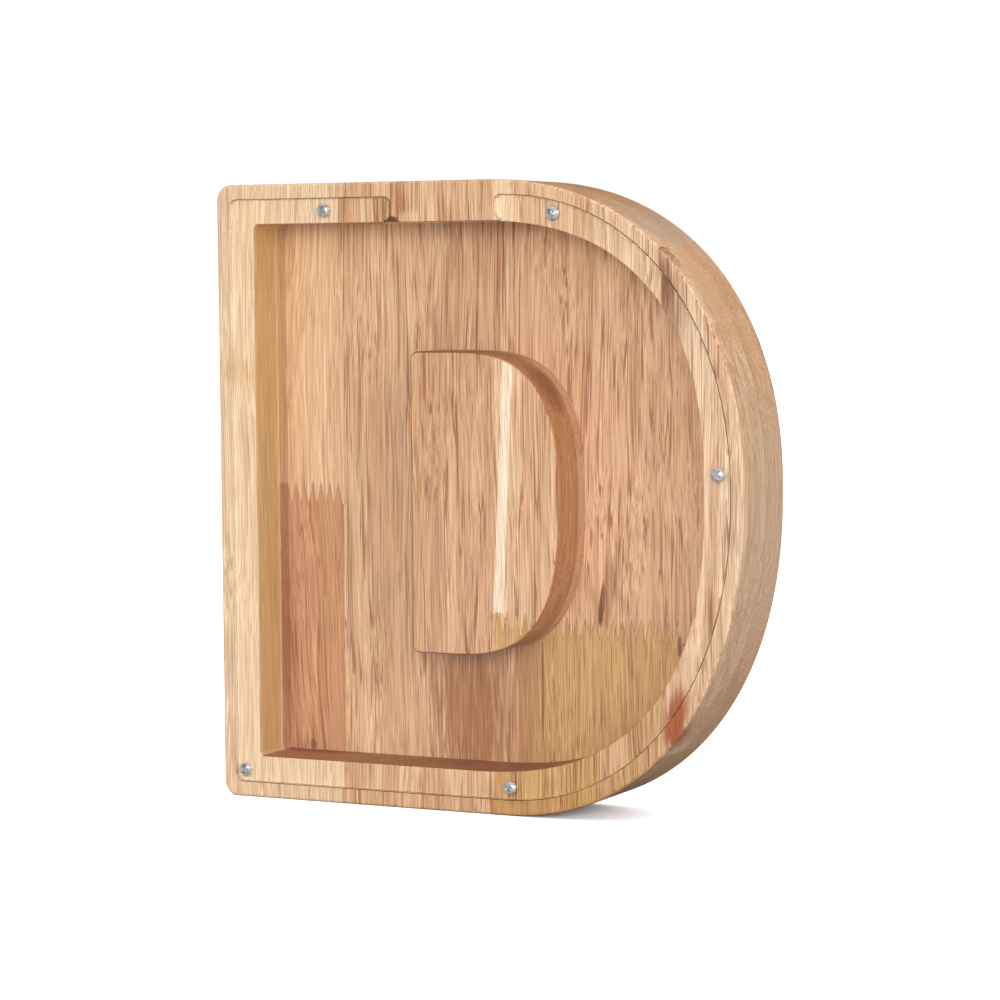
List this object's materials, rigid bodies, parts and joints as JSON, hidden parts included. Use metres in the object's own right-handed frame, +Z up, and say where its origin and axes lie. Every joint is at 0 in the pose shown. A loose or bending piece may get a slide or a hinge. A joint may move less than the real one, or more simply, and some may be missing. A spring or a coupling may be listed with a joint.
{
  "type": "money box",
  "caption": "Upright wooden money box shaped like a capital D, with a milled pocket round a centre island, a screwed-on clear window in front and a coin slot in the top.",
  "frame": {"origin": "middle of the base: centre of the object's box in X and Y, on the surface that it stands on", "axes": "+X to the right seen from the front, towards the bow; +Y from the window towards the back; +Z up"},
  "size_m": [0.2074, 0.0396, 0.225],
  "materials": {
    "wood_light": "clear satin lacquer, pale tan wood",
    "wood_tan": "clear satin lacquer, tan wood",
    "wood_pink": "clear satin lacquer, pinkish-brown wood",
    "wood_gold": "clear satin lacquer, golden-tan wood",
    "wood_brown": "clear satin lacquer, brown wood",
    "wood_red": "clear satin lacquer, reddish-brown wood",
    "acrylic": "clear cast acrylic, polished",
    "zinc": "bright zinc plate"
  },
  "bodies": {
    "block": {"front_left_stave": "wood_light", "front_top_slot_stave": "wood_tan", "front_top_middle_stave": "wood_light", "front_top_right_stave": "wood_tan", "front_right_stave": "wood_tan", "front_bottom_right_stave": "wood_gold", "front_bottom_middle_stave": "wood_gold", "front_bottom_left_stave": "wood_pink", "island_left_stave": "wood_pink", "island_upper_stave": "wood_light", "island_lower_stave": "wood_gold", "back_left_upper_stave": "wood_gold", "back_left_lower_stave": "wood_red", "back_second_stave": "wood_brown", "back_third_stave": "wood_brown", "back_fourth_upper_stave": "wood_brown", "back_fourth_lower_stave": "wood_gold", "back_right_stave": "wood_brown"},
    "window": {"window": "acrylic"},
    "screw_top_left_body": {"screw_top_left": "zinc"},
    "screw_top_right_body": {"screw_top_right": "zinc"},
    "screw_right_body": {"screw_right": "zinc"},
    "screw_bottom_middle_body": {"screw_bottom_middle": "zinc"},
    "screw_bottom_left_body": {"screw_bottom_left": "zinc"}
  },
  "joints": [
    {"name": "window_lift_out", "type": "slide", "parent": "block", "child": "window", "axis": [0, -1, 0], "range_m": [0, 0.04]},
    {"name": "screw_top_left_unscrew", "type": "slide", "parent": "window", "child": "screw_top_left_body", "axis": [0, -1, 0], "range_m": [0, 0.018]},
    {"name": "screw_top_right_unscrew", "type": "slide", "parent": "window", "child": "screw_top_right_body", "axis": [0, -1, 0], "range_m": [0, 0.018]},
    {"name": "screw_right_unscrew", "type": "slide", "parent": "window", "child": "screw_right_body", "axis": [0, -1, 0], "range_m": [0, 0.018]},
    {"name": "screw_bottom_middle_unscrew", "type": "slide", "parent": "window", "child": "screw_bottom_middle_body", "axis": [0, -1, 0], "range_m": [0, 0.018]},
    {"name": "screw_bottom_left_unscrew", "type": "slide", "parent": "window", "child": "screw_bottom_left_body", "axis": [0, -1, 0], "range_m": [0, 0.018]}
  ]
}
